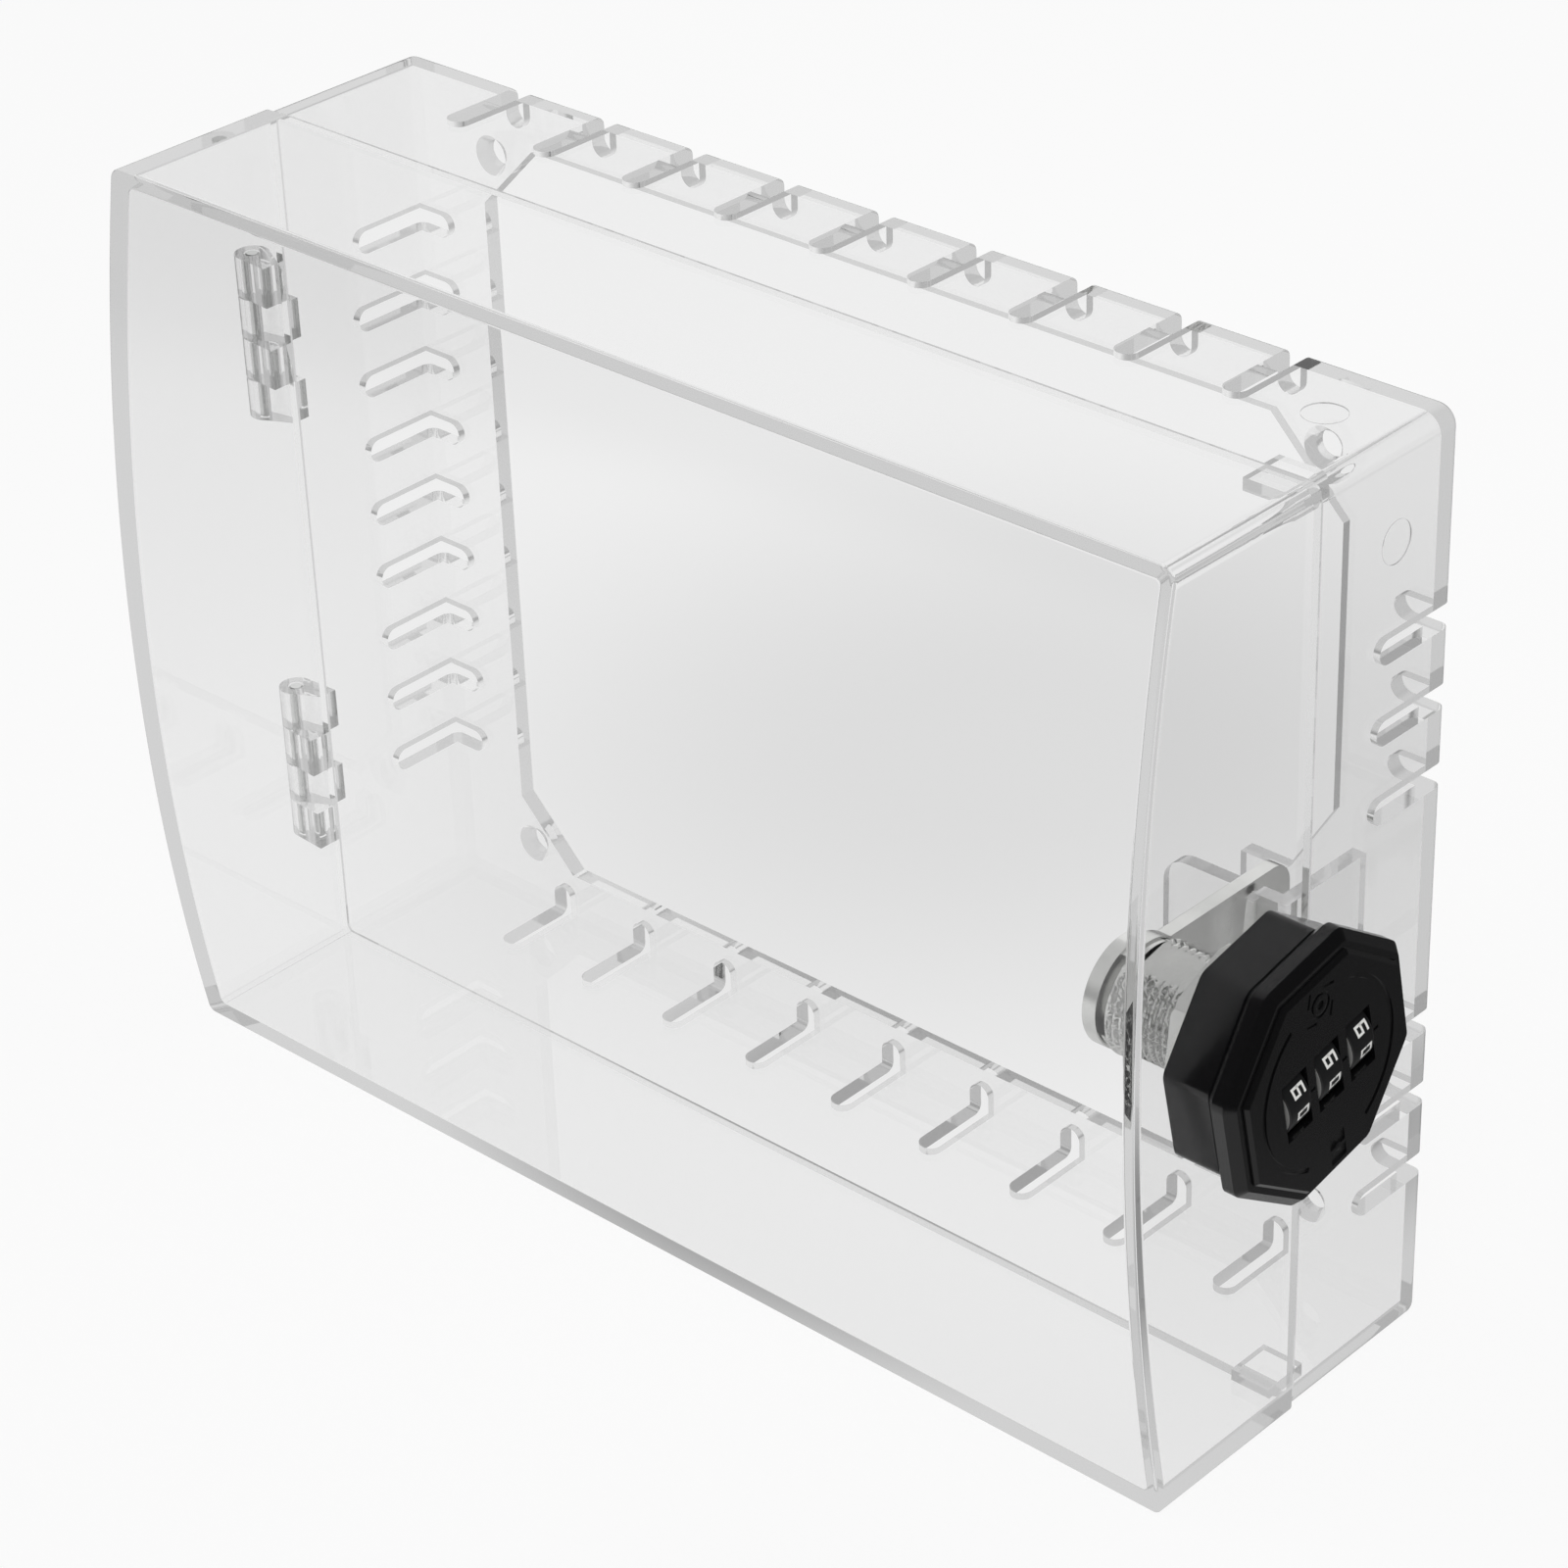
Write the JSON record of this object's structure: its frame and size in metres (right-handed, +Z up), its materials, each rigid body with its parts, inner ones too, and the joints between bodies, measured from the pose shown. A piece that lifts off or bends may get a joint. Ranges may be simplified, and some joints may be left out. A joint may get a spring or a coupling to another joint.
{
  "type": "thermostat lock box",
  "caption": "Clear plastic wall box that guards a thermostat, with a slotted base, a side-hinged cover with an arched front, and a combination knob lock with a hook.",
  "frame": {"origin": "middle of the four wall screw holes, on the wall plane", "axes": "+X to the right seen from the front, +Y into the wall, +Z up"},
  "size_m": [0.2343, 0.0704, 0.156],
  "materials": {
    "clear_plastic": "clear, polished",
    "black_plastic": "semi-gloss",
    "wheel_plastic": "satin, with light digits",
    "zinc_alloy": "satin plated",
    "plated_steel": "bright plated",
    "seal_rubber": "matt"
  },
  "bodies": {
    "base": {"base_shell": "clear_plastic"},
    "cover": {"cover_shell": "clear_plastic", "upper_hinge_pin": "plated_steel", "lower_hinge_pin": "plated_steel", "lock_barrel": "zinc_alloy", "lock_nut": "plated_steel", "collar_seal": "seal_rubber", "lock_collar": "black_plastic"},
    "knob": {"knob_housing": "black_plastic", "face_plate": "black_plastic", "spindle": "zinc_alloy", "knob_screws": "plated_steel", "wheel_axle": "plated_steel", "locking_bar": "zinc_alloy", "locking_bar_springs": "plated_steel", "click_spring": "plated_steel", "stop_washer": "plated_steel", "lock_hook": "plated_steel", "hook_washer": "plated_steel", "hook_screw": "plated_steel"},
    "wheel_1": {"number_wheel_1": "wheel_plastic", "code_sleeve_1": "zinc_alloy"},
    "wheel_2": {"number_wheel_2": "wheel_plastic", "code_sleeve_2": "zinc_alloy"},
    "wheel_3": {"number_wheel_3": "wheel_plastic", "code_sleeve_3": "zinc_alloy"}
  },
  "joints": [
    {"name": "cover_hinge", "type": "hinge", "parent": "base", "child": "cover", "pos_m": [-0.1114, -0.0315, 0], "axis": [0, 0, -1], "range_deg": [0, 135]},
    {"name": "knob_turn", "type": "hinge", "parent": "cover", "child": "knob", "pos_m": [0.1, -0.0451, -0.0031], "axis": [1, 0, 0], "range_deg": [0, 90]},
    {"name": "wheel_1_turn", "type": "hinge", "parent": "knob", "child": "wheel_1", "pos_m": [0.11365, -0.0451, -0.0031], "axis": [0, 0.9799, 0.1994], "continuous": true},
    {"name": "wheel_2_turn", "type": "hinge", "parent": "knob", "child": "wheel_2", "pos_m": [0.11365, -0.0451, -0.0031], "axis": [0, 0.9799, 0.1994], "continuous": true},
    {"name": "wheel_3_turn", "type": "hinge", "parent": "knob", "child": "wheel_3", "pos_m": [0.11365, -0.0451, -0.0031], "axis": [0, 0.9799, 0.1994], "continuous": true}
  ]
}
